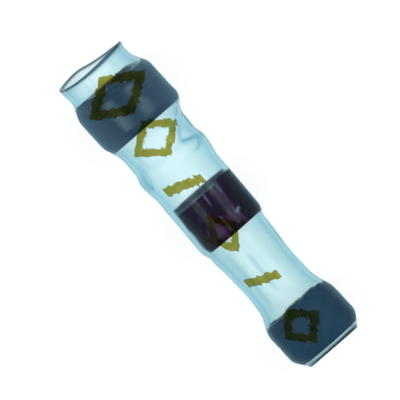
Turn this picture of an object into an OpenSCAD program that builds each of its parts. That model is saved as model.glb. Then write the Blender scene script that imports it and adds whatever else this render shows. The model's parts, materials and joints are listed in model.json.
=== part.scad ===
// Solder seal wire connector. A clear film sleeve is shrunk loosely round two fusible seal
// rings and a ring of solder, which carries a coat of flux. A stripped wire goes in at each end.
// The sleeve lies along X, with the centre of the solder ring at the origin. +X points to the
// narrow seal, and +Z is up as the part lies on a bench. Lengths are in millimetres.

/* [Seal rings] */
// Outer radius of the wide seal ring
wide_seal_r = 1.795; // [1.7:0.005:2]
// Length of the wide seal ring
wide_seal_len = 2.5; // [2:0.05:3.5]
// Wall of the wide seal ring, from its hole out to its outer radius
wide_seal_t = 0.545; // [0.4:0.005:0.65]
// Outer radius of the narrow seal ring
narrow_seal_r = 1.565; // [1.5:0.005:1.8]
// Length of the narrow seal ring
narrow_seal_len = 2.15; // [1.7:0.05:3]
// Wall of the narrow seal ring, from its hole out to its outer radius
narrow_seal_t = 0.465; // [0.35:0.005:0.55]

/* [Solder and flux] */
// Outer radius of the solder ring
solder_r = 1.38; // [1.32:0.005:1.44]
// Length of the solder ring
solder_len = 2.36; // [1.8:0.02:3]
// Wall of the solder ring, from its hole out to its outer radius
solder_t = 0.33; // [0.25:0.005:0.4]
// Thickness of the flux over the solder
flux_t = 0.06; // [0.03:0.005:0.1]
// Strip at the left of the solder ring that the flux leaves bare
bare_strip = 0.36; // [0.1:0.02:0.8]
// Number of grooves along the outside of the solder ring
flute_count = 9; // [5:1:14]
// Radius of the round bottom of a groove
flute_r = 0.24; // [0.15:0.01:0.3]
// Depth of a groove
flute_depth = 0.08; // [0.04:0.005:0.12]

/* [Film sleeve] */
// Thickness of the film
film_t = 0.16; // [0.1:0.01:0.25]
// Free film between the wide seal ring and the solder ring
left_bay = 3.48; // [2.6:0.02:5]
// Free film between the solder ring and the narrow seal ring
right_bay = 4.02; // [3:0.02:6]
// Film that stands out past the wide seal ring, to the mouth
mouth_len = 0.97; // [0.7:0.01:2]
// Film that stands out past the narrow seal ring, to the cut end
tail_len = 0.32; // [0.1:0.01:0.5]
// Inner radius of the film at the mouth
mouth_r = 1.485; // [1.4:0.005:1.7]
// Inner radius of the film at the neck, beside the wide seal ring
neck_r = 1.47; // [1.4:0.005:1.6]
// Inner radius of the film on the loose wave before the solder ring
wave_r = 1.588; // [1.5:0.002:1.7]
// Inner radius that the film falls to just past the solder ring
hip_r = 1.305; // [1.25:0.005:1.4]
// Inner radius of the film at the waist, where it is narrowest
waist_r = 1.196; // [1.16:0.002:1.25]
// How much the waist has widened where the film starts to climb the narrow seal ring
waist_flare = 0.03; // [0:0.005:0.08]
// Inner radius that the film heads for past the narrow seal ring
tail_r = 1.06; // [1:0.01:1.3]

/* [Slopes of the film] */
// Film that starts to climb before the wide seal ring, from the mouth
wide_climb = 0.37; // [0.2:0.01:0.6]
// Rounded shoulder of the wide seal ring at its mouth side
wide_shoulder = 0.66; // [0.4:0.01:0.9]
// Rounded edge of the wide seal ring at its solder side
wide_edge = 0.44; // [0.2:0.01:0.8]
// Film that still falls past the wide seal ring
wide_fall = 0.61; // [0.3:0.01:0.8]
// Rounded edge of the solder ring and its flux at the waist side
solder_edge = 0.28; // [0.1:0.01:0.5]
// Film that still falls past the solder ring
solder_fall = 0.32; // [0.2:0.01:0.6]
// Film that starts to climb before the narrow seal ring, from the waist
narrow_climb = 0.8; // [0.4:0.02:1]
// Rounded shoulder of the narrow seal ring at its waist side
narrow_shoulder = 0.55; // [0.3:0.01:0.8]
// Rounded edge of the narrow seal ring at its tail side
narrow_edge = 0.5; // [0.2:0.01:0.8]
// Film past the narrow seal ring in which it would finish shrinking
narrow_fall = 0.6; // [0.55:0.01:0.9]

/* [Shrink marks] */
// How deep the underside is pressed flat where the sleeve lies on a bench
rest_flat = 0.06; // [0.03:0.005:0.12]
// How far the mouth is pressed flat, as a share of its radius
mouth_flat = 0.05; // [0:0.005:0.1]
// How far the cut at the mouth leans along the sleeve, to each side of square
lip_slant = 0.12; // [0:0.005:0.2]
// Height of the two waves in the cut at the mouth
lip_wave = 0.055; // [0:0.005:0.08]
// How far the cut at the other end leans, its top towards the ring
tail_slant = 0.09; // [0:0.005:0.12]
// How far the lip curls outwards at its turned corner
lip_curl = 0.07; // [0:0.005:0.12]
// Length of film that the curl takes up
curl_len = 0.4; // [0.2:0.02:0.6]
// Depth of the pucker in the neck, where the film gathers behind the wide seal ring
pucker_depth = 0.1; // [0:0.005:0.14]
// Half length of the pucker
pucker_len = 0.75; // [0.4:0.05:0.9]
// Half width of the pucker
pucker_w = 0.26; // [0.15:0.01:0.4]

/* [Hidden] */

// Clearance between the film and the rings inside it
film_gap = 0.02;
// Clearance between the flux and the solder
flux_gap = 0.01;
// Facets round the film, on the round rings and round the cutter of a groove
film_sides = 32;
ring_sides = 96;
flute_sides = 32;
// Most that the film's radius changes, and the furthest it runs, from one station to the next
station_rise = 0.055;
station_run = 0.7;
// Least that a station stands clear of the end of a ring or of the film
station_clear = 0.02;
// What a cut stands out past the solid that it cuts
over = 1;

// Ends of the rings and of the film along X
solder_x0 = -solder_len / 2;
solder_x1 = solder_len / 2;
wide_x1 = solder_x0 - left_bay;
wide_x0 = wide_x1 - wide_seal_len;
narrow_x0 = solder_x1 + right_bay;
narrow_x1 = narrow_x0 + narrow_seal_len;
mouth_x = wide_x0 - mouth_len;
tail_x = narrow_x1 + tail_len;

// Holes through the rings
wide_bore_r = wide_seal_r - wide_seal_t;
narrow_bore_r = narrow_seal_r - narrow_seal_t;
solder_bore_r = solder_r - solder_t;

// Inner radii of the film where it is tight on a ring
wide_film_r = wide_seal_r + film_gap;
narrow_film_r = narrow_seal_r + film_gap;
solder_film_r = solder_r + flux_gap + flux_t + film_gap;

// Shares of the left bay at which the neck ends, the wave is highest and the wave ends, and
// of the right bay at which the waist is narrowest
neck_end = 0.37;
wave_top = 0.52;
wave_end = 0.85;
waist_at = 0.58;

// The film's inner profile as [x, radius], which an S-shaped slope joins from point to point
PROFILE = [
    [mouth_x, mouth_r],
    [wide_x0 - wide_climb, neck_r],
    [wide_x0 + wide_shoulder, wide_film_r],
    [wide_x1 - wide_edge, wide_film_r],
    [wide_x1 + wide_fall, neck_r],
    [wide_x1 + neck_end * left_bay, neck_r],
    [wide_x1 + wave_top * left_bay, wave_r],
    [wide_x1 + wave_end * left_bay, solder_film_r],
    [solder_x1 - solder_edge, solder_film_r],
    [solder_x1 + solder_fall, hip_r],
    [solder_x1 + waist_at * right_bay, waist_r],
    [narrow_x0 - narrow_climb, waist_r + waist_flare],
    [narrow_x0 + narrow_shoulder, narrow_film_r],
    [narrow_x1 - narrow_edge, narrow_film_r],
    [narrow_x1 + narrow_fall, tail_r]
];

// S-shaped slope from 0 to 1
function ease(t) = let (u = max(0, min(1, t))) u * u * (3 - 2 * u);

// Inner radius of the film at x
function film_r(x, k = 0) =
    k < len(PROFILE) - 2 && x > PROFILE[k + 1][0]
        ? film_r(x, k + 1)
        : let (a = PROFILE[k], b = PROFILE[k + 1])
            a[1] + (b[1] - a[1]) * ease((x - a[0]) / (b[0] - a[0]));

// Stations along the film, closer together where its radius changes
function steps(a, b) =
    max(2, ceil(abs(b[1] - a[1]) / station_rise), ceil((b[0] - a[0]) / station_run));
STATIONS = [
    for (k = [0 : len(PROFILE) - 2])
        let (a = PROFILE[k], b = PROFILE[k + 1], n = steps(a, b))
            for (i = [0 : n - 1])
                let (x = a[0] + (b[0] - a[0]) * i / n)
                    if (x < tail_x - 2 * station_clear) x,
    tail_x
];

// Where the shrink marks are, as angles round X from +Y towards +Z
lip_lean_at = 72;
lip_wave_at = 122;
curl_at = 8;
pucker_at = 34;
// Place of the pucker as a share of the left bay, and its turn from the length of the sleeve
pucker_share = 0.26;
pucker_x = wide_x1 + pucker_share * left_bay;
pucker_turn = 42;

// 1 at the mouth, falling to 0 where the film starts to climb the wide seal ring
function loose(x) = ease((wide_x0 - wide_climb - x) / (mouth_len - wide_climb));

// Place of the cut at the mouth, from its mean
function lip_x(a) = lip_slant * cos(a - lip_lean_at) + lip_wave * cos(2 * (a - lip_wave_at));

// How far the lean of the cut at the tail moves the film past the narrow seal ring
function tail_lean(x, a) = -tail_slant * sin(a) * ease((x - narrow_x1) / tail_len);

// Outward curl of the turned corner of the lip
function curl(x, a) =
    lip_curl * ease((mouth_x + curl_len - x) / curl_len) * pow(max(0, cos(a - curl_at)), 3);

// Depth of the pucker, an oval hollow turned on the film
function pucker(x, a) =
    let (
        along = x - pucker_x,
        round_x = (a - pucker_at) * PI / 180 * neck_r,
        u = along * cos(pucker_turn) + round_x * sin(pucker_turn),
        v = round_x * cos(pucker_turn) - along * sin(pucker_turn)
    )
    pucker_depth * exp(-pow(u / pucker_len, 2) - pow(v / pucker_w, 2));

// The bench touches the sleeve under the inner edge of the wide seal ring and the outer edge
// of the narrow one, so it slopes a little from one to the other
wide_rest_x = wide_x1 - wide_edge;
narrow_rest_x = narrow_x1 - narrow_edge;
bench_slope = (wide_film_r - narrow_film_r) / (narrow_rest_x - wide_rest_x);
function bench_z(x) = rest_flat - wide_film_r - film_t + bench_slope * (x - wide_rest_x);

// Facets stand round the true radius, so that the rings inside stay clear of them
facet_grow = 1 / cos(180 / film_sides);

// A point of the film at station x and angle a, out from its inner wall
function film_point(x, a, out) =
    let (r = (film_r(x) + curl(x, a) - pucker(x, a) + out) * facet_grow)
        [
            x + lip_x(a) * loose(x) + tail_lean(x, a),
            r * cos(a),
            max(r * sin(a) * (1 - mouth_flat * loose(x)), bench_z(x) + film_t - out)
        ];

// The film is one closed skin: its outer wall, its inner wall and the two cut ends
module sleeve() {
    n = film_sides;
    rows = len(STATIONS);
    inner = rows * n;
    last = (rows - 1) * n;
    points = [
        for (out = [film_t, 0])
            for (x = STATIONS)
                for (j = [0 : n - 1])
                    film_point(x, (j + 0.5) * 360 / n, out)
    ];
    wall_faces = [
        for (i = [0 : rows - 2])
            for (j = [0 : n - 1])
                let (a = i * n + j, b = i * n + (j + 1) % n)
                    each [
                        [a, b + n, b],
                        [a, a + n, b + n],
                        [inner + a, inner + b, inner + b + n],
                        [inner + a, inner + b + n, inner + a + n]
                    ]
    ];
    end_faces = [
        for (j = [0 : n - 1])
            let (a = j, b = (j + 1) % n)
                each [
                    [a, b, inner + b],
                    [a, inner + b, inner + a],
                    [last + a, inner + last + b, last + b],
                    [last + a, inner + last + a, inner + last + b]
                ]
    ];
    color([0.68, 0.86, 0.9, 0.4])
        polyhedron(points, concat(wall_faces, end_faces));
}

// A ring from x0 to x1 that lies inside the film, inset from it, round a hole of radius bore.
// Its seam is turned up, away from the flat underneath.
module ring_in_film(x0, x1, inset, bore) {
    between = [for (x = STATIONS) if (x > x0 + station_clear && x < x1 - station_clear) x];
    outline = concat([x0], between, [x1]);
    rotate([180, 0, 0])
        rotate([0, 90, 0])
            rotate_extrude($fn = ring_sides)
                polygon(concat(
                    [[bore, x1], [bore, x0]],
                    [for (x = outline) [film_r(x) - inset, x]]
                ));
}

// Grooved solder from x0 to x1. grow makes it larger all over.
module grooved_solder(x0, x1, bore, grow) {
    groove_at = solder_r - flute_depth + flute_r;
    difference() {
        ring_in_film(x0, x1, film_gap + flux_t + flux_gap - grow, bore);
        for (k = [0 : flute_count - 1])
            rotate([(k + 0.5) * 360 / flute_count, 0, 0])
                translate([x0 - over, 0, groove_at])
                    rotate([0, 90, 0])
                        cylinder(r = flute_r - grow, h = x1 - x0 + 2 * over, $fn = flute_sides);
    }
}

// A seal ring from x0 to x1, flat underneath as the film under it is. The flat stands a
// little further off the film than the round, so that its corners clear the film's facets.
module seal_ring(x0, x1, bore) {
    side = 2 * (x1 - x0);
    difference() {
        ring_in_film(x0, x1, film_gap, bore);
        translate([x0, 0, bench_z(x0) + film_t + 2 * film_gap])
            rotate([0, -atan(bench_slope), 0])
                translate([-over, -side / 2, -side])
                    cube(side);
    }
}

module wide_seal_ring() {
    color([0.14, 0.24, 0.34])
        seal_ring(wide_x0, wide_x1, wide_bore_r);
}

module narrow_seal_ring() {
    color([0.11, 0.2, 0.3])
        seal_ring(narrow_x0, narrow_x1, narrow_bore_r);
}

module solder_ring() {
    color([0.45, 0.5, 0.55])
        grooved_solder(solder_x0, solder_x1, solder_bore_r, 0);
}

// The flux fills the grooves and lies over them as a thin skin
module flux_coat() {
    color([0.25, 0.13, 0.26])
        difference() {
            ring_in_film(solder_x0 + bare_strip, solder_x1, film_gap, solder_bore_r);
            grooved_solder(solder_x0, solder_x1 + solder_fall / 2, solder_bore_r / 2, flux_gap);
        }
}

sleeve();
wide_seal_ring();
narrow_seal_ring();
solder_ring();
flux_coat();
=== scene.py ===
import json
import math

import bmesh
import bpy
from mathutils import Matrix, Vector, noise


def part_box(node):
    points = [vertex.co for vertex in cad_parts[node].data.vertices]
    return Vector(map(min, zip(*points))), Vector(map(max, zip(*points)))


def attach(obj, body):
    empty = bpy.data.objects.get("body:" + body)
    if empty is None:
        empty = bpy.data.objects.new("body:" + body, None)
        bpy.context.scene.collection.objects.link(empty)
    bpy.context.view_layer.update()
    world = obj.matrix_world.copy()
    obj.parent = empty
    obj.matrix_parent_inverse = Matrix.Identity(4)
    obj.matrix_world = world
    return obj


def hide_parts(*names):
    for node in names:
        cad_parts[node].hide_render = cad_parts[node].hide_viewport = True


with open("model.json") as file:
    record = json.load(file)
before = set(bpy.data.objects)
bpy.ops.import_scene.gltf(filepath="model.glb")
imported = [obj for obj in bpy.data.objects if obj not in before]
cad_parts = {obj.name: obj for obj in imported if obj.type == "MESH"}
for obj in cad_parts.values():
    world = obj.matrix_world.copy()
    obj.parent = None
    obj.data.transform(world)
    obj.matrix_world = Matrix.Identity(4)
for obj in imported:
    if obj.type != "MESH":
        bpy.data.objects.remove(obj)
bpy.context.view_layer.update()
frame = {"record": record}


# Film sleeve. A thin tube of clear blue heat-shrink film, cut from a long extrusion and shrunk
# loosely over the rings inside it. Its wall stays even, so each ring shows as a bulge, and the
# loose film between them keeps waves, a pucker, and a mouth a little out of true.
MM = 0.001
film_wall = 0.16
mouth_len = 0.97
tail_len = 0.32
mouth_r = 1.485
neck_r = 1.47
wave_r = 1.588
hip_r = 1.305
waist_r = 1.196
waist_flare = 0.03
tail_r = 1.06
wide_climb, wide_shoulder, wide_edge, wide_fall = 0.37, 0.66, 0.44, 0.61
solder_edge, solder_fall = 0.28, 0.32
narrow_climb, narrow_shoulder, narrow_edge, narrow_fall = 0.8, 0.55, 0.5, 0.6
neck_end, wave_top, wave_end, waist_at = 0.37, 0.52, 0.85, 0.58
rest_flat = 0.06
mouth_flat = 0.05
film_stations = 255
film_turns = 152


def box_mm(node):
    """Lowest and highest corner of a node, in millimetres."""
    low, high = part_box(node)
    return low / MM, high / MM


sleeve_low, sleeve_high = box_mm("sleeve")
wide_low, wide_high = box_mm("wide_seal_ring")
narrow_low, narrow_high = box_mm("narrow_seal_ring")
solder_low, solder_high = box_mm("solder_ring")
flux_low, flux_high = box_mm("flux_coat")
wide_film_r = sleeve_high.y - film_wall
ring_gap = wide_film_r - wide_high.y
narrow_film_r = narrow_high.y + ring_gap
solder_film_r = flux_high.y + ring_gap
left_bay = solder_low.x - wide_high.x
right_bay = narrow_low.x - solder_high.x
mouth_x = wide_low.x - mouth_len
tail_x = narrow_high.x + tail_len

film_profile = [
    (mouth_x, mouth_r),
    (wide_low.x - wide_climb, neck_r),
    (wide_low.x + wide_shoulder, wide_film_r),
    (wide_high.x - wide_edge, wide_film_r),
    (wide_high.x + wide_fall, neck_r),
    (wide_high.x + neck_end * left_bay, neck_r),
    (wide_high.x + wave_top * left_bay, wave_r),
    (wide_high.x + wave_end * left_bay, solder_film_r),
    (solder_high.x - solder_edge, solder_film_r),
    (solder_high.x + solder_fall, hip_r),
    (solder_high.x + waist_at * right_bay, waist_r),
    (narrow_low.x - narrow_climb, waist_r + waist_flare),
    (narrow_low.x + narrow_shoulder, narrow_film_r),
    (narrow_high.x - narrow_edge, narrow_film_r),
    (narrow_high.x + narrow_fall, tail_r),
]


def ease(t):
    """S-shaped slope from 0 to 1."""
    u = max(0.0, min(1.0, t))
    return u * u * (3 - 2 * u)


def film_r(x):
    """Inner radius of the film at x."""
    for (xa, ra), (xb, rb) in zip(film_profile, film_profile[1:]):
        if x <= xb:
            return ra + (rb - ra) * ease((x - xa) / (xb - xa))
    return film_profile[-1][1]


# Creases in the loose film, each from one point to another as (x, angle, x, angle), with its
# half width and depth. Angles go round X from +Y towards +Z.
# Their depth also sets the painted shade in the creases
creases = [
    (-4.02, 28, -3.5, 52, 0.13, 0.022),
    (-3.7, 50, -3.15, 60, 0.10, 0.026),
    (-3.22, 62, -2.86, 14, 0.10, 0.044),
    (-2.86, 14, -2.5, 54, 0.09, 0.026),
    (-3.75, 34, -3.3, 26, 0.20, 0.012),
    (-4.6, 140, -3.1, 128, 0.08, 0.014),
    (-3.7, 150, -2.9, 138, 0.10, 0.024),
    (-2.95, 139, -2.45, 158, 0.14, 0.022),
    (-3.3, 154, -2.3, 160, 0.18, 0.020),
    (1.35, 127, 4.9, 131, 0.09, 0.022),
    (-7.95, 104, -7.1, 107, 0.05, 0.010),
    (-7.85, 115, -7.2, 116, 0.05, 0.010),
    (-7.9, 60, -7.3, 56, 0.08, 0.008),
    (-3.2, -60, -2.5, -20, 0.14, 0.014),
    (2.2, -95, 4.4, -100, 0.10, 0.020),
]
pucker_x, pucker_at, pucker_turn = wide_high.x + 0.26 * left_bay, 34, 42
pucker_depth, pucker_len, pucker_w = 0.08, 0.75, 0.28
crease_fade, crease_start = 4, 0.15


def turn_from(angle, at):
    """Degrees from one angle round X to another, between -180 and 180."""
    return (angle - at + 180) % 360 - 180


def streak(at, span, half):
    """How far along a streak a point is, and how near to it, from 1 on it to 0 far off."""
    share = max(0.0, min(1.0, at.dot(span) / span.length_squared))
    away = (at - span * share).length / half
    return share, math.exp(-away * away)


def crease(x, angle):
    """How far the creases press the film in at a point."""
    depth = 0.0
    round_r = film_r(x)
    for xa, aa, xb, ab, half, deep in creases:
        at = Vector((x - xa, math.radians(turn_from(angle, aa)) * round_r))
        span = Vector((xb - xa, math.radians(ab - aa) * round_r))
        share, near = streak(at, span, half)
        fade = ease(crease_fade * share + crease_start)
        fade *= ease(crease_fade * (1 - share) + crease_start)
        depth += deep * fade * near
    return depth


def pucker(x, angle):
    """The oval hollow where the film gathers behind the wide seal ring."""
    along = x - pucker_x
    across = math.radians(turn_from(angle, pucker_at)) * neck_r
    turn = math.radians(pucker_turn)
    u = along * math.cos(turn) + across * math.sin(turn)
    v = across * math.cos(turn) - along * math.sin(turn)
    return pucker_depth * math.exp(-((u / pucker_len) ** 2) - (v / pucker_w) ** 2)


slack_run = 0.7


def slack(x):
    """1 where the film is loose, 0 where it is tight on a ring."""
    tight = [
        (wide_low.x, wide_high.x), (solder_low.x, solder_high.x), (narrow_low.x, narrow_high.x)
    ]
    return min(ease(max(a - x, x - b, 0) / slack_run) for a, b in tight)


lip_lean, lip_lean_at = 0.12, 72
lip_wave, lip_wave_at = 0.055, 122
tongue_len, tongue_at, tongue_half = 0.09, -110, 24


def lip_x(angle):
    """How far the cut at the mouth is from square, with a tongue that hangs out underneath."""
    lean = lip_lean * math.cos(math.radians(angle - lip_lean_at))
    wave = lip_wave * math.cos(2 * math.radians(angle - lip_wave_at))
    tongue = math.exp(-((turn_from(angle, tongue_at) / tongue_half) ** 2))
    return lean + wave - tongue_len * tongue


tail_slant = 0.09


def tail_lean(x, a):
    """How far the cut at the tail leans at x and angle a in radians, its top to the ring."""
    return -tail_slant * math.sin(a) * ease((x - narrow_high.x) / tail_len)


# How far the middle of the sleeve sways to +Y along its length, as (x, sway)
sways = [
    (-8.2, -0.06), (-6.6, 0.045), (-5.2, 0.07), (-3.8, 0.04), (-2.9, 0), (2.4, -0.045),
    (4.3, -0.04), (5.2, -0.085), (6.4, -0.035), (7.7, 0.01),
]


def sway(x):
    """Where the middle of the sleeve is in Y."""
    for (xa, ya), (xb, yb) in zip(sways, sways[1:]):
        if x <= xb:
            return ya + (yb - ya) * ease((x - xa) / (xb - xa))
    return sways[-1][1]


bench_slope = (wide_film_r - narrow_film_r) / (
    narrow_high.x - narrow_edge - wide_high.x + wide_edge
)


def bench_z(x):
    """Height of the bench under the sleeve."""
    return rest_flat - sleeve_high.y + bench_slope * (x - wide_high.x + wide_edge)


# The curl of the mouth's lip, the square shoulder of the wide ring and the wobble of loose film
curl_height, curl_len, curl_at = 0.07, 0.4, math.radians(8)
shoulder_height, shoulder_back, shoulder_len = 0.07, 0.08, 0.34
wobble_height, wobble_along, wobble_round = 0.035, 0.8, 1.5


def film_point(x, a, out):
    """A point of the film at x and angle a in radians, out from its inner wall."""
    angle = math.degrees(a)
    loose = ease((wide_low.x - wide_climb - x) / (mouth_len - wide_climb))
    lip = ease((mouth_x + curl_len - x) / curl_len)
    curl = curl_height * lip * max(0.0, math.cos(a - curl_at)) ** 3
    r = film_r(x) + curl - pucker(x, angle) - crease(x, angle) + out
    # The wide ring's shoulder stands square on the +Y side and is melted away on the other
    shoulder = math.exp(-(((x - wide_high.x + shoulder_back) / shoulder_len) ** 2))
    r += shoulder_height * math.cos(a) * shoulder
    at = Vector((wobble_along * x, wobble_round * math.cos(a), wobble_round * math.sin(a)))
    r += wobble_height * slack(x) * noise.noise(at)
    return Vector((
        x + lip_x(angle) * loose + tail_lean(x, a),
        r * math.cos(a) + sway(x),
        max(r * math.sin(a) * (1 - mouth_flat * loose), bench_z(x) + film_wall - out),
    ))


wide_askew, wide_askew_at = 0.3, math.radians(40)
narrow_ragged, ragged_scale = 0.14, 3.2


def wide_left(a):
    """Left end of the wide ring at angle a, which lies askew in the film."""
    return wide_low.x + wide_askew * max(0.0, math.sin(a + wide_askew_at))


def narrow_left(a):
    """Left end of the narrow ring at angle a, which is a little ragged."""
    at = Vector((3, ragged_scale * math.cos(a), ragged_scale * math.sin(a)))
    return narrow_low.x + narrow_ragged * noise.noise(at)


# The rings cling to the film from end to end. The flux clings up to a wavy shore, in degrees
# from +Y, with one headland, and reaches a little past its own left end.
cling_edge = 0.06
shore_at, shore_wave, shore_scale, shore_edge = 59, 5, 2.6, 3
head_turn, head_x, head_half = 7, 0.48, 0.2
flux_reach, reach_edge, flux_end_edge = 0.25, 0.08, 0.05


def wet(x, a):
    """1 where what is inside clings to the film with no air between, at x and angle a."""
    for low, high in ((wide_left(a), wide_high.x), (narrow_left(a), narrow_high.x)):
        if low < x < high:
            return ease(min(x - low, high - x) / cling_edge)
    if flux_low.x - flux_reach < x < flux_high.x:
        turn = abs(turn_from(math.degrees(a), 0))
        head = head_turn * math.exp(-(((x - head_x) / head_half) ** 2))
        shore = shore_at + shore_wave * noise.noise(Vector((shore_scale * x, 1, 0))) + head
        from_left, from_right = x - flux_low.x + flux_reach, flux_high.x - x
        return ease(min(
            (shore - turn) / shore_edge, from_right / flux_end_edge, from_left / reach_edge
        ))
    return 0.0


def turned(outline, steps):
    """A closed outline of (x, radius) points turned round X into a solid."""
    bm = bmesh.new()
    verts = [bm.verts.new((x, 0, r)) for x, r in outline]
    edges = [bm.edges.new(pair) for pair in zip(verts, verts[1:] + verts[:1])]
    bmesh.ops.spin(
        bm, geom=verts + edges, axis=(1, 0, 0), cent=(0, 0, 0), dvec=(0, 0, 0),
        angle=math.tau, steps=steps, use_merge=True,
    )
    bmesh.ops.recalc_face_normals(bm, faces=bm.faces)
    return bm


sharp_edge = math.radians(50)


def finished(name, bm, material):
    """The piece made from a bmesh in millimetres, riding on the connector's one body."""
    bmesh.ops.scale(bm, vec=(MM, MM, MM), verts=bm.verts)
    mesh = bpy.data.meshes.new(name)
    bm.to_mesh(mesh)
    bm.free()
    mesh.polygons.foreach_set("use_smooth", [True] * len(mesh.polygons))
    mesh.set_sharp_from_angle(angle=sharp_edge)
    mesh.materials.append(material)
    piece = bpy.data.objects.new(name, mesh)
    bpy.context.scene.collection.objects.link(piece)
    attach(piece, "root")
    return piece


def stations(x0, x1, count):
    """Evenly spaced places from x0 to x1."""
    return [x0 + (x1 - x0) * k / (count - 1) for k in range(count)]


def add_node(tree, kind, **inputs):
    """A shader node with its inputs set by name."""
    made = tree.nodes.new(kind)
    for name, value in inputs.items():
        made.inputs[name.replace("_", " ")].default_value = value
    return made


def feed(tree, given, value):
    """Links a socket to an input, or sets the input to a plain value."""
    if isinstance(value, bpy.types.NodeSocket):
        tree.links.new(value, given)
    else:
        given.default_value = value


def add_math(tree, operation, *values):
    """What a math operation makes of sockets and plain numbers."""
    made = tree.nodes.new("ShaderNodeMath")
    made.operation = operation
    for given, value in zip(made.inputs, values):
        feed(tree, given, value)
    return made.outputs["Value"]


def add_ramp(tree, value, *stops):
    """A colour that follows a value through stops, each a place and a colour."""
    ramp = tree.nodes.new("ShaderNodeValToRGB")
    elements = ramp.color_ramp.elements
    for number, (place, colour) in enumerate((stops[0], stops[-1])):
        elements[number].position, elements[number].color = place, (*colour, 1)
    for place, colour in stops[1:-1]:
        elements.new(place).color = (*colour, 1)
    tree.links.new(value, ramp.inputs["Fac"])
    return ramp.outputs["Color"]


def multiplied(tree, base, colour, share):
    """A colour multiplied by another as far as a share says."""
    mix = tree.nodes.new("ShaderNodeMix")
    mix.data_type, mix.blend_type = "RGBA", "MULTIPLY"
    feed(tree, mix.inputs["Factor"], share)
    feed(tree, mix.inputs[6], base)
    feed(tree, mix.inputs[7], colour)
    return mix.outputs[2]


def mixed(tree, share, first, second):
    """One shader that passes into another as the share goes from 0 to 1."""
    mix = tree.nodes.new("ShaderNodeMixShader")
    tree.links.new(share, mix.inputs["Fac"])
    tree.links.new(first, mix.inputs[1])
    tree.links.new(second, mix.inputs[2])
    return mix.outputs["Shader"]


def mark(tree, layer):
    """What a layer of the mesh says at each point."""
    made = tree.nodes.new("ShaderNodeAttribute")
    made.attribute_name = layer
    return made.outputs["Fac"]


def drawn_plastic_group():
    """Blotches and fine lines along the part, which all its drawn and moulded plastic has."""
    group = bpy.data.node_groups.new("drawn_plastic", "ShaderNodeTree")
    for name in ("Blotch Scale", "Line Scale"):
        group.interface.new_socket(name, in_out="INPUT", socket_type="NodeSocketFloat")
    for name in ("Blotches", "Lines"):
        group.interface.new_socket(name, in_out="OUTPUT", socket_type="NodeSocketFloat")
    given, out = group.nodes.new("NodeGroupInput"), group.nodes.new("NodeGroupOutput")
    place = group.nodes.new("ShaderNodeTexCoord")
    blotches = add_node(group, "ShaderNodeTexNoise", Detail=4.0, Roughness=0.55)
    stretch = add_node(group, "ShaderNodeMapping", Scale=(0.06, 1, 1))
    lines = add_node(group, "ShaderNodeTexNoise", Detail=3.0, Roughness=0.6)
    link = group.links.new
    link(place.outputs["Object"], blotches.inputs["Vector"])
    link(place.outputs["Object"], stretch.inputs["Vector"])
    link(stretch.outputs["Vector"], lines.inputs["Vector"])
    link(given.outputs["Blotch Scale"], blotches.inputs["Scale"])
    link(given.outputs["Line Scale"], lines.inputs["Scale"])
    link(blotches.outputs["Fac"], out.inputs["Blotches"])
    link(lines.outputs["Fac"], out.inputs["Lines"])
    return group


drawn_plastic = drawn_plastic_group()


def new_material(name):
    """A material, its node tree and its Principled shader."""
    material = bpy.data.materials.new(name)
    material.use_nodes = True
    return material, material.node_tree, material.node_tree.nodes["Principled BSDF"]


def add_drawn(tree, blotch_scale, line_scale):
    """The drawn plastic group placed in a material."""
    made = tree.nodes.new("ShaderNodeGroup")
    made.node_tree = drawn_plastic
    made.inputs["Blotch Scale"].default_value = blotch_scale
    made.inputs["Line Scale"].default_value = line_scale
    return made


def spread(tree, source, low, high):
    """A value of about 0.3 to 0.7 spread over low to high."""
    made = add_node(tree, "ShaderNodeMapRange", From_Min=0.3, From_Max=0.7)
    made.inputs["To Min"].default_value = low
    made.inputs["To Max"].default_value = high
    tree.links.new(source, made.inputs["Value"])
    return made.outputs["Result"]


def add_bump(tree, shader, height, strength, distance):
    """Bump from a height that feeds the shader's normal."""
    bump = add_node(tree, "ShaderNodeBump", Strength=strength, Distance=distance * MM)
    tree.links.new(height, bump.inputs["Height"])
    tree.links.new(bump.outputs["Normal"], shader.inputs["Normal"])


def let_lamps_through(tree, seen, tint):
    """Lamps and bounced light pass straight through, tinted, so the film shades what it holds
    only lightly."""
    path = tree.nodes.new("ShaderNodeLightPath").outputs
    unseen = add_math(tree, "MAXIMUM", path["Is Shadow Ray"], path["Is Diffuse Ray"])
    clear = add_node(tree, "ShaderNodeBsdfTransparent", Color=(*tint, 1))
    surface = mixed(tree, unseen, seen, clear.outputs["BSDF"])
    tree.links.new(surface, tree.nodes["Material Output"].inputs["Surface"])


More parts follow.
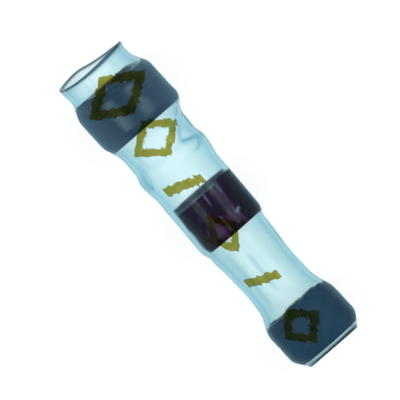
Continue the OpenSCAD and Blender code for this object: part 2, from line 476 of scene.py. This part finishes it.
def clear_blue_film():
    """Clear film with a blue tint in its depth, softly wavy, with fine lines along it. Painted
    shade deepens its colour at a slant, towards the tube's edges, in its creases and at its cut
    ends, and it is a little deeper in colour towards the tail, where it has shrunk most. Its
    inner face vanishes where something clings to it, and its outer face is duller there."""
    material, tree, shader = new_material("clear_blue_film")
    link = tree.links.new
    # Painted shade: the tint deepens as the film turns away from the camera, towards the tube's
    # edges
    slant = add_node(tree, "ShaderNodeLayerWeight", Blend=0.5)
    painted_shade = add_ramp(
        tree, slant.outputs["Facing"],
        (0, (1, 1, 1)), (0.1, (0.92, 0.945, 0.95)), (0.2, (0.88, 0.915, 0.925)),
        (0.35, (0.8, 0.865, 0.89)), (0.55, (0.68, 0.79, 0.84)), (1, (0.5, 0.66, 0.74)),
    )
    place = tree.nodes.new("ShaderNodeTexCoord")
    along = tree.nodes.new("ShaderNodeSeparateXYZ")
    share = add_node(tree, "ShaderNodeMapRange", From_Min=mouth_x * MM, From_Max=tail_x * MM)
    link(place.outputs["Object"], along.inputs["Vector"])
    link(along.outputs["X"], share.inputs["Value"])
    shrunk = add_ramp(
        tree, share.outputs["Result"], (0.48, (1, 1, 1)), (0.62, (0.94, 0.955, 0.95))
    )
    tint = multiplied(tree, painted_shade, shrunk, 1)
    # Painted shade in the creases
    tint = multiplied(tree, tint, (0.42, 0.66, 0.78, 1), mark(tree, "painted_fold_shade"))
    # Painted shade at the cut ends, a dark line and a faint haze
    tint = multiplied(tree, tint, (0.06, 0.14, 0.2, 1), mark(tree, "cut"))
    link(tint, shader.inputs["Base Color"])
    shader.inputs["Transmission Weight"].default_value = 1
    shader.inputs["IOR"].default_value = 1.15
    drawn = add_drawn(tree, 900, 2600).outputs
    clings = mark(tree, "wet")
    smooth = spread(tree, drawn["Blotches"], 0.12, 0.26)
    link(add_math(tree, "MULTIPLY_ADD", clings, 0.3, smooth), shader.inputs["Roughness"])
    relief = add_math(tree, "ADD", drawn["Blotches"], drawn["Lines"])
    add_bump(tree, shader, relief, 0.16, 0.02)
    gone = tree.nodes.new("ShaderNodeBsdfTransparent")
    vanished = add_math(tree, "MULTIPLY", clings, mark(tree, "inner"))
    seen = mixed(tree, vanished, shader.outputs["BSDF"], gone.outputs["BSDF"])
    let_lamps_through(tree, seen, (1, 1, 1))
    depth = add_node(
        tree, "ShaderNodeVolumeAbsorption", Color=(0.476, 0.897, 0.954, 1), Density=2000.0
    )
    link(depth.outputs["Volume"], tree.nodes["Material Output"].inputs["Volume"])
    return material


rim = 0.02
mouth_zone, mouth_stations = 0.3, 11
tail_zone, tail_stations = 0.2, 8
film_x = stations(mouth_x, mouth_x + mouth_zone, mouth_stations)[:-1]
film_x += stations(mouth_x + mouth_zone, tail_x - tail_zone, film_stations)
film_x += stations(tail_x - tail_zone, tail_x, tail_stations)[1:]
film_outline = [(x, film_wall) for x in film_x]
film_outline[0] = (mouth_x, film_wall - rim)
film_outline.insert(1, (mouth_x + rim, film_wall))
film_outline[-1] = (tail_x - rim, film_wall)
film_outline.append((tail_x, film_wall - rim))
film_outline += [(tail_x, rim), (tail_x - rim, 0)] + [(x, 0) for x in film_x[-2:0:-1]]
film_outline += [(mouth_x + rim, 0), (mouth_x, rim)]
# The outline is turned at one radius plus the place in the wall, which film_point then reads
turning_r = 10
bm = turned([(x, turning_r + out) for x, out in film_outline], film_turns)
wet_layer, inner_layer, cut_layer, painted_fold_layer = (
    bm.verts.layers.float.new(name) for name in ("wet", "inner", "cut", "painted_fold_shade")
)
# Each cut end has painted shade: a dark line, which is wider on one side, and a faint haze
# beyond it
cut_len, cut_more, cut_more_at = 0.14, 0.13, 1.2
line_shade, line_most = 1.9, 0.95
haze_shade, haze_len = 0.28, 3 * cut_len
# The crease depth at which the painted shade in the creases is full
fold_deepest = 0.04
for v in bm.verts:
    x, a, out = v.co.x, math.atan2(v.co.z, v.co.y), math.hypot(v.co.y, v.co.z) - turning_r
    v[wet_layer] = wet(x, a)
    v[inner_layer] = 1 if out < rim / 2 else 0
    from_cut = min(x - mouth_x, tail_x - x)
    line_len = cut_len + cut_more * max(0.0, math.cos(a - cut_more_at)) ** 2
    line, painted_shade = line_shade * (1 - from_cut / line_len), haze_shade * (1 - from_cut / haze_len)
    v[cut_layer] = max(0.0, painted_shade, min(line_most, line))
    v[painted_fold_layer] = min(1.0, crease(x, math.degrees(a)) / fold_deepest)
    v.co = film_point(x, a, out)
sleeve = finished("sleeve_film", bm, clear_blue_film())
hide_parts("sleeve")


# Seal rings. Two short tubes of fusible navy plastic, one at each end, moulded smooth and
# pushed into the sleeve. When the sleeve is heated they melt and run round the wire's jacket.
seal_turns = 192
seal_gap = 0.004
seal_edge = 0.07
seal_corner = 0.3 * seal_edge
wide_stations, narrow_stations = 60, 54
askew_run, ragged_run = 0.8, 0.7
navy = (0.014, 0.045, 0.088)
deep_navy = (0.009, 0.043, 0.085)


def seal_plastic(name, colour, ior, smoothest, roughest):
    """Smooth navy plastic, a little cloudy, which the film clings to."""
    material, tree, shader = new_material(name)
    blotches = add_drawn(tree, 700, 2200).outputs["Blotches"]
    dark, pale = ([shade * c for c in colour] for shade in (0.78, 1.2))
    cloudy = add_ramp(tree, blotches, (0.35, dark), (0.7, pale))
    tree.links.new(cloudy, shader.inputs["Base Color"])
    rough = spread(tree, blotches, smoothest, roughest)
    tree.links.new(rough, shader.inputs["Roughness"])
    shader.inputs["IOR"].default_value = ior
    add_bump(tree, shader, blotches, 0.4, 0.04)
    return material


def bore_r(mount):
    """Radius of a stated hole, in millimetres."""
    found = [m for m in frame["record"]["mounts"] if m["name"] == mount]
    return found[0]["dims"]["r_mm"]


def seal_outline(low, high, bore, count):
    """Section of a ring that fills the film from low to high, with its edges melted round."""
    crown = [
        (x, film_r(x) - seal_gap) for x in stations(low.x + seal_edge, high.x - seal_edge, count)
    ]
    left_r, right_r = crown[0][1], crown[-1][1]
    left = [(low.x + seal_corner, left_r - seal_corner), (low.x, left_r - seal_edge)]
    right = [(high.x - seal_corner, right_r - seal_corner), (high.x, right_r - seal_edge)]
    inside = [(high.x, bore + seal_edge), (high.x - seal_edge, bore), (low.x + seal_edge, bore)]
    return left[::-1] + crown + right + inside + [(low.x, bore + seal_edge)]


def fill_film(v, bore):
    """Moves a vertex of a ring so that the ring's outside follows the film and its bore stays."""
    a, r = math.atan2(v.co.z, v.co.y), math.hypot(v.co.y, v.co.z)
    full = film_r(v.co.x) - seal_gap
    share = ease((r - bore) / (full - bore))
    even = Vector((v.co.x, full * math.cos(a), full * math.sin(a)))
    shift = film_point(v.co.x, a, -seal_gap) - even
    v.co.y += share * shift.y
    v.co.z += share * shift.z


def seal_ring(name, low, high, mount, count, left_end, run, plastic):
    """A ring from low to high whose left end follows left_end, which fades out over a run."""
    bore = bore_r(mount)
    bm = turned(seal_outline(low, high, bore, count), seal_turns)
    for v in bm.verts:
        fill_film(v, bore)
        a = math.atan2(v.co.z, v.co.y)
        v.co.x += (left_end(a) - low.x) * ease((low.x + run - v.co.x) / run)
    return finished(name, bm, plastic)


wide_seal = seal_ring(
    "wide_seal", wide_low, wide_high, "wire_entry_left", wide_stations, wide_left, askew_run,
    seal_plastic("navy_seal_plastic", navy, 1.5, 0.2, 0.36),
)
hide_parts("wide_seal_ring")
narrow_seal = seal_ring(
    "narrow_seal", narrow_low, narrow_high, "wire_entry_right", narrow_stations, narrow_left,
    ragged_run, seal_plastic("deep_navy_seal_plastic", deep_navy, 1.25, 0.45, 0.6),
)
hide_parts("narrow_seal_ring")


# Solder ring. A short tube of dull grey solder alloy, pressed with grooves along its outside.
# It lies in the middle of the sleeve, where it melts and wets both bared wires.
flute_count = 9
flute_r = 0.24
flute_depth = 0.08
solder_turns = 288
solder_stations = 40
solder_clear = 0.08


def solder_r(x):
    """Outer radius of the solder at x, which stays clear of the film where that narrows."""
    return min(solder_high.y, film_r(x) - solder_clear)


def flute(a):
    """How deep the grooves of the solder are at an angle."""
    pitch = math.tau / flute_count
    off = (a + math.tau + pitch / 2) % pitch - pitch / 2
    chord = off * solder_high.y
    if abs(chord) >= flute_r:
        return 0.0
    return max(0.0, flute_depth - flute_r + math.sqrt(flute_r**2 - chord**2))


def dull_solder():
    """Cast solder alloy, dull and a little blotched, darker where it is stained."""
    material, tree, shader = new_material("dull_solder")
    drawn = add_drawn(tree, 2400, 3200).outputs
    alloy = add_ramp(
        tree, drawn["Blotches"], (0.35, (0.06, 0.075, 0.1)), (0.65, (0.12, 0.145, 0.18))
    )
    stained = multiplied(tree, alloy, (0.4, 0.45, 0.55, 1), mark(tree, "stain"))
    tree.links.new(stained, shader.inputs["Base Color"])
    shader.inputs["Metallic"].default_value = 0.35
    tree.links.new(spread(tree, drawn["Blotches"], 0.5, 0.7), shader.inputs["Roughness"])
    add_bump(tree, shader, drawn["Lines"], 0.3, 0.02)
    return material


stain_from, stain_run = 0.16, 0.08
solder_bore = bore_r("solder_bore")
solder_outline = [(x, solder_r(x)) for x in stations(solder_low.x, solder_high.x, solder_stations)]
solder_outline += [(solder_high.x, solder_bore), (solder_low.x, solder_bore)]
bm = turned(solder_outline, solder_turns)
stain_layer = bm.verts.layers.float.new("stain")
for v in bm.verts:
    v[stain_layer] = ease((flux_low.x - stain_from - v.co.x) / stain_run)
    r = math.hypot(v.co.y, v.co.z)
    if r > solder_high.y - 2 * flute_depth:
        v.co.yz *= (r - flute(math.atan2(v.co.z, v.co.y))) / r
solder = finished("solder_tube", bm, dull_solder())
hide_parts("solder_ring")


# Flux. A glossy skin of dark aubergine rosin that is run over the solder and fills its
# grooves. It is thick and almost black in places, thin and slate grey on the ridges, and it
# stops short of the solder's left end.
flux_turns = 288
flux_stations = 72
flux_gap = 0.004
flux_slack, slack_turn = 0.05, 120
flux_ripple, ripple_pitch = 0.03, 7

# Streaks in the flux, seen from above, as (x, y, x, y), each with its half width and how much
# thicker or thinner the flux is along it. The light spot and the two light lines along y = 0
# are painted highlights
flux_streaks_and_glints = [
    (-0.80, 1.20, -0.45, 1.02, 0.20, 0.30),
    (-0.60, 0.98, 0.15, 0.90, 0.07, 0.40),
    (0.15, 0.90, 0.45, 0.66, 0.06, 0.50),
    (0.55, 0.72, 0.80, 0.84, 0.05, 0.40),
    (0.80, 0.84, 1.15, 0.86, 0.05, 0.35),
    # A painted glint
    (0.47, 0.74, 0.51, 0.68, 0.09, -0.72),
    (-0.80, 0.70, -0.58, 0.67, 0.10, -0.42),
    (-0.86, 0.44, -0.76, 0.42, 0.05, -0.22),
    (-0.50, 0.68, 0.10, 0.68, 0.06, -0.22),
    (0.25, 0.60, 0.45, 0.66, 0.06, -0.24),
    (0.55, 0.68, 1.12, 0.70, 0.06, -0.34),
    (-0.80, 0.42, -0.30, 0.36, 0.14, -0.14),
    (-0.82, 0.50, -0.68, 0.48, 0.07, -0.14),
    (-0.35, 0.52, 0.50, 0.50, 0.04, 0.22),
    (-0.40, 0.20, 0.30, 0.16, 0.07, 0.20),
    # The two light lines along y = 0 are painted highlights
    (-0.88, 0.04, -0.35, 0.00, 0.05, -0.62),
    (0.25, 0.00, 1.12, 0.03, 0.05, -0.56),
    (-0.82, -0.16, -0.70, -0.20, 0.07, -0.14),
    (-0.45, -0.14, -0.05, -0.30, 0.11, 0.32),
    (0.48, -0.18, 1.08, -0.26, 0.13, -0.24),
    (-0.60, -0.52, 1.10, -0.62, 0.08, 0.44),
    (-0.55, 0.36, 0.10, 0.30, 0.05, 0.30),
    (-0.82, 0.58, -0.20, 0.60, 0.05, 0.28),
    (-0.30, -0.36, 0.40, -0.42, 0.05, -0.34),
    (-0.80, -0.36, -0.55, -0.40, 0.05, -0.26),
    (-0.78, -0.78, -0.10, -0.74, 0.05, -0.36),
    (0.35, -0.80, 1.05, -0.84, 0.06, -0.38),
    (-0.50, -0.88, 0.25, -1.22, 0.09, 0.45),
    (0.30, -0.98, 1.05, -1.12, 0.09, 0.40),
    (-0.80, -1.00, -0.55, -1.18, 0.08, 0.30),
]


# The flux is thicker beyond two lines along the sleeve, at these y, and cloudy and streaky
flux_base, thicken_run = 0.6, 0.2
far_y, far_more = 0.78, 0.4
near_y, near_more = -0.9, 0.3
clouds, cloud_scale = 0.24, 2
grain, grain_along, grain_round = 0.16, 0.9, 6


def flux_depth_and_glint(x, y, z):
    """How thick the flux looks, from 0, bare, to 1, black, and low along painted highlights."""
    depth = flux_base + far_more * ease((y - far_y) / thicken_run)
    depth += near_more * ease((near_y - y) / thicken_run)
    depth += clouds * noise.noise(Vector((cloud_scale * x, cloud_scale * y, cloud_scale * z)))
    depth += grain * noise.noise(Vector((grain_along * x, grain_round * y, grain_round * z)))
    # The streaks come again underneath, in other places
    side = y if z > 0 else 0.8 * math.sin(2.6 * y)
    for xa, ya, xb, yb, half, more in flux_streaks_and_glints:
        at, span = Vector((x - xa, side - ya)), Vector((xb - xa, yb - ya))
        depth += more * streak(at, span, half)[1]
    return max(0.0, min(1.0, depth))


def aubergine_flux():
    """Glossy rosin, whose colour follows how thick it is, pale where highlights are painted."""
    material, tree, shader = new_material("aubergine_flux")
    lines = add_drawn(tree, 2600, 3600).outputs["Lines"]
    uneven = add_math(tree, "MULTIPLY_ADD", lines, 0.3, -0.15)
    thickness_and_glint = add_math(tree, "ADD", mark(tree, "flux_depth_and_glint"), uneven)
    # Pale at 0 for bare solder and the painted highlights, darkest where the flux is thickest
    colour = add_ramp(
        tree, thickness_and_glint, (0, (0.15, 0.2, 0.24)), (0.22, (0.05, 0.055, 0.09)),
        (0.42, (0.07, 0.013, 0.065)), (0.62, (0.018, 0.005, 0.02)), (0.88, (0.01, 0.007, 0.016)),
    )
    tree.links.new(colour, shader.inputs["Base Color"])
    shader.inputs["Roughness"].default_value = 0.45
    shader.inputs["IOR"].default_value = 1.06
    add_bump(tree, shader, lines, 0.35, 0.03)
    return material


def flux_sag(x, a):
    """How far the flux's skin stands off the film at x and angle a, less where it is wet."""
    ripple = flux_ripple * max(0.0, -math.cos(a)) * (1 + math.sin(ripple_pitch * x)) / 2
    sag = flux_slack * (1 - wet(x, a)) * ease(abs(math.degrees(a)) / slack_turn)
    return flux_gap + sag + ripple


# The flux has crept to the left, further where it is wet, and its edge there is ragged
creep_run, creep_least, creep_more = 0.3, 0.1, 0.12
creep_at, creep_soft = 62, 8
creep_ragged = 0.05
on_skin = 0.001
flux_x = stations(flux_low.x, flux_high.x, flux_stations)
flux_outline = [(x, film_r(x)) for x in flux_x]
flux_outline += [(x, solder_r(x) + flux_gap) for x in flux_x[::-1]]
bm = turned(flux_outline, flux_turns)
flux_layer = bm.verts.layers.float.new("flux_depth_and_glint")
for v in bm.verts:
    a, r = math.atan2(v.co.z, v.co.y), math.hypot(v.co.y, v.co.z)
    y, z = solder_high.y * math.cos(a), solder_high.y * math.sin(a)
    v[flux_layer] = flux_depth_and_glint(v.co.x, y, z)
    if r > film_r(v.co.x) - on_skin:
        skin = film_point(v.co.x, a, -flux_sag(v.co.x, a))
        v.co.y, v.co.z = skin.y, skin.z
    else:
        v.co.yz *= (r - flute(a)) / r
    near_left = max(0.0, (flux_low.x + creep_run - v.co.x) / creep_run)
    crept = creep_least + creep_more * ease((creep_at - abs(math.degrees(a))) / creep_soft)
    ragged = creep_ragged * noise.noise(Vector((1, 5 * y, 5 * z)))
    v.co.x += near_left * (ragged - crept)
flux = finished("flux_skin", bm, aubergine_flux())
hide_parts("flux_coat")


# Printed marks. Plain yellow lozenges and slanted bars, jetted on the film in lines along the
# sleeve, so their sides are ragged. The ink is clear enough to darken what lies under it.
ink_lift = 0.004
ink_wall = 0.01
line_pitch = 0.11
line_cells = 4
cell_len = 0.045
line_end = 0.11
ink_spread, bead_spread = 0.03, 0.24
melt_rounds = 3

# Each mark's middle as (x, arc from the top towards +Y), its length, its height and its stroke
lozenges = [
    (-6.45, 0.0, 2.15, 3.7, 0.40),
    (-4.04, 0.05, 1.95, 2.75, 0.34),
    (0.86, -0.35, 2.2, 1.5, 0.30),
    (5.95, -0.42, 2.0, 2.1, 0.36),
]
bars = [
    (-1.76, -0.35, 0.55, 1.75, 0.45),
    (3.4, -0.4, 0.5, 1.45, 0.42),
]


def in_lozenge(x, s, length, height, stroke):
    """True on the line of a lozenge round the origin."""
    half = math.hypot(length, height) / 2
    across = (abs(x) / (length / 2) + abs(s) / (height / 2) - 1) * length * height / 4 / half
    return -stroke < across < 0


def in_bar(x, s, length, height, stroke):
    """True on a bar that leans, round the origin."""
    return abs(s) < height / 2 and abs(x - s * length / height) < stroke / 2


def lemon_ink():
    """Thin clear ink, which tints what is under it."""
    material, tree, shader = new_material("lemon_ink")
    blotches = add_drawn(tree, 3000, 5000).outputs["Blotches"]
    lemon = add_ramp(tree, blotches, (0.3, (0.35, 0.28, 0.04)), (0.7, (0.5, 0.395, 0.075)))
    tree.links.new(lemon, shader.inputs["Base Color"])
    shader.inputs["Roughness"].default_value = 0.25
    shader.inputs["IOR"].default_value = 1.1
    shader.inputs["Transmission Weight"].default_value = 1
    let_lamps_through(tree, shader.outputs["BSDF"], (0.95, 0.95, 0.85))
    return material


def printed(name, marks, inside, material):
    """Marks made of short cells in lines, laid on the film."""
    bm = bmesh.new()
    for number, (x0, s0, length, height, stroke) in enumerate(marks):
        wide, tall = length + 2 * stroke, height + 2 * stroke
        made = bmesh.ops.create_grid(
            bm, x_segments=round(wide / cell_len), y_segments=line_cells * round(tall / line_pitch),
            size=0.5, matrix=Matrix.Diagonal((wide, tall, 1, 1)),
        )
        faces = {f for v in made["verts"] for f in v.link_faces}
        outside = []
        for f in faces:
            c = f.calc_center_median()
            line = math.floor(c.y / line_pitch)
            end = line_end * noise.noise(Vector((7.3 * line, 1.7 * number, 0.5)))
            # Each line of ink is a bead, fatter along its middle
            middle = abs(c.y / line_pitch - line - 0.5)
            fat = stroke + ink_spread + bead_spread * (0.25 - middle)
            if not inside(c.x - end, c.y, length, height, fat):
                outside.append(f)
        bmesh.ops.delete(bm, geom=outside, context="FACES")
        for v in made["verts"]:
            if v.is_valid:
                v.co.x += x0
                v.co.y += s0
    for _ in range(melt_rounds):
        bmesh.ops.smooth_vert(
            bm, verts=bm.verts, factor=0.5, use_axis_x=True, use_axis_y=True, use_axis_z=False
        )
    for v in bm.verts:
        a = math.pi / 2 - v.co.y / (film_r(v.co.x) + film_wall)
        v.co = film_point(v.co.x, a, film_wall + ink_lift + ink_wall)
    bmesh.ops.recalc_face_normals(bm, faces=bm.faces)
    up = sum(f.normal.z * f.calc_area() for f in bm.faces)
    if up < 0:
        bmesh.ops.reverse_faces(bm, faces=bm.faces)
    bmesh.ops.solidify(bm, geom=bm.faces, thickness=ink_wall)
    bmesh.ops.recalc_face_normals(bm, faces=bm.faces)
    return finished(name, bm, material)


ink = lemon_ink()
printed("printed_lozenges", lozenges, in_lozenge, ink)
printed("printed_bars", bars, in_bar, ink)


# Bench. A plain white sheet under the sleeve, which touches it at its two bulges. It slopes
# with them under the sleeve and is level beyond its ends.
def bench_paper():
    """White paper. What the camera sees is lit evenly to white and keeps the soft shadow."""
    material, tree, shader = new_material("bench_paper")
    tree.nodes.remove(shader)
    path = tree.nodes.new("ShaderNodeLightPath").outputs
    shaded = add_node(tree, "ShaderNodeBsdfDiffuse", Color=(0.2, 0.2, 0.2, 1))
    lit = add_node(tree, "ShaderNodeEmission", Color=(0.835, 0.835, 0.835, 1), Strength=1.0)
    plain = add_node(tree, "ShaderNodeBsdfDiffuse", Color=(0.9, 0.9, 0.9, 1))
    both = tree.nodes.new("ShaderNodeAddShader")
    tree.links.new(shaded.outputs["BSDF"], both.inputs[0])
    tree.links.new(lit.outputs["Emission"], both.inputs[1])
    straight = add_math(tree, "MAXIMUM", path["Is Camera Ray"], path["Is Transmission Ray"])
    shown = add_math(tree, "MAXIMUM", straight, path["Is Glossy Ray"])
    surface = mixed(tree, shown, plain.outputs["BSDF"], both.outputs["Shader"])
    tree.links.new(surface, tree.nodes["Material Output"].inputs["Surface"])
    return material


bench_side = 400
bench_drop = 0.004
bm = bmesh.new()
bmesh.ops.create_grid(bm, x_segments=3, y_segments=1, size=bench_side / 2)
for v in bm.verts:
    # The two inner rows go to the ends of the sleeve
    if abs(v.co.x) < bench_side / 4:
        v.co.x = sleeve_low.x if v.co.x < 0 else sleeve_high.x
    v.co.z = bench_z(max(sleeve_low.x, min(sleeve_high.x, v.co.x))) - bench_drop
bmesh.ops.scale(bm, vec=(MM, MM, MM), verts=bm.verts)
bench_mesh = bpy.data.meshes.new("bench")
bm.to_mesh(bench_mesh)
bm.free()
bench_mesh.materials.append(bench_paper())
bench = bpy.data.objects.new("bench", bench_mesh)
bpy.context.scene.collection.objects.link(bench)


# Camera. It looks down on the sleeve through a long lens, leaning over by two degrees, and is
# turned so that the sleeve lies askew in the picture with its mouth at the upper left.
picture_turn = math.radians(49.1)
camera_lean = math.radians(2)
camera_lens, camera_sensor = 450, 36
camera_away = 212
aim_right, aim_up = -0.682, 0.462

lean = Matrix.Rotation(-camera_lean, 3, "Y")
right = lean @ Vector((math.cos(picture_turn), math.sin(picture_turn), 0))
up = lean @ Vector((-math.sin(picture_turn), math.cos(picture_turn), 0))
back = lean @ Vector((0, 0, 1))
camera_data = bpy.data.cameras.new("camera")
camera_data.lens = camera_lens
camera_data.sensor_width = camera_sensor
camera_data.clip_start = 0.001
camera = bpy.data.objects.new("camera", camera_data)
turn = Matrix((right, up, back)).transposed().to_4x4()
place = (right * aim_right + up * aim_up + back * camera_away) * MM
camera.matrix_world = Matrix.Translation(place) @ turn
bpy.context.scene.collection.objects.link(camera)
bpy.context.scene.camera = camera


# Light. Two soft square lamps, one to each side of the sleeve, in a plain pale room. The
# camera sees the room as white, and gloss and film see it white round the bench, dim overhead.
lamp_side = 44
lamp_away = 100
lamp_power = 0.016
lamp_tilt = 36
for name, tilt in (("lamp_left", lamp_tilt), ("lamp_right", -lamp_tilt)):
    lamp_data = bpy.data.lights.new(name, "AREA")
    lamp_data.size = lamp_side * MM
    lamp_data.energy = lamp_power
    lamp = bpy.data.objects.new(name, lamp_data)
    aside = Matrix.Rotation(math.radians(tilt), 4, "X")
    lamp.matrix_world = aside @ Matrix.Translation((0, 0, lamp_away * MM))
    bpy.context.scene.collection.objects.link(lamp)

room = bpy.data.worlds.new("room")
room.use_nodes = True
tree = room.node_tree
path = tree.nodes.new("ShaderNodeLightPath").outputs
walls = tree.nodes["Background"]
walls.inputs["Color"].default_value = (0.8, 0.8, 0.8, 1)
behind = add_node(tree, "ShaderNodeBackground", Color=(1, 1, 1, 1), Strength=1.0)
shown = add_node(tree, "ShaderNodeBackground", Strength=1.0)
toward = tree.nodes.new("ShaderNodeTexCoord")
height = tree.nodes.new("ShaderNodeSeparateXYZ")
tree.links.new(toward.outputs["Generated"], height.inputs["Vector"])
overhead = add_ramp(tree, height.outputs["Z"], (0.1, (1, 1, 1)), (0.5, (0.1, 0.14, 0.17)))
tree.links.new(overhead, shown.inputs["Color"])
mirrored = add_math(tree, "MAXIMUM", path["Is Glossy Ray"], path["Is Transmission Ray"])
around = mixed(tree, mirrored, walls.outputs["Background"], shown.outputs["Background"])
seen = mixed(tree, path["Is Camera Ray"], around, behind.outputs["Background"])
tree.links.new(seen, tree.nodes["World Output"].inputs["Surface"])
bpy.context.scene.world = room
bpy.context.scene.view_settings.view_transform = "Standard"
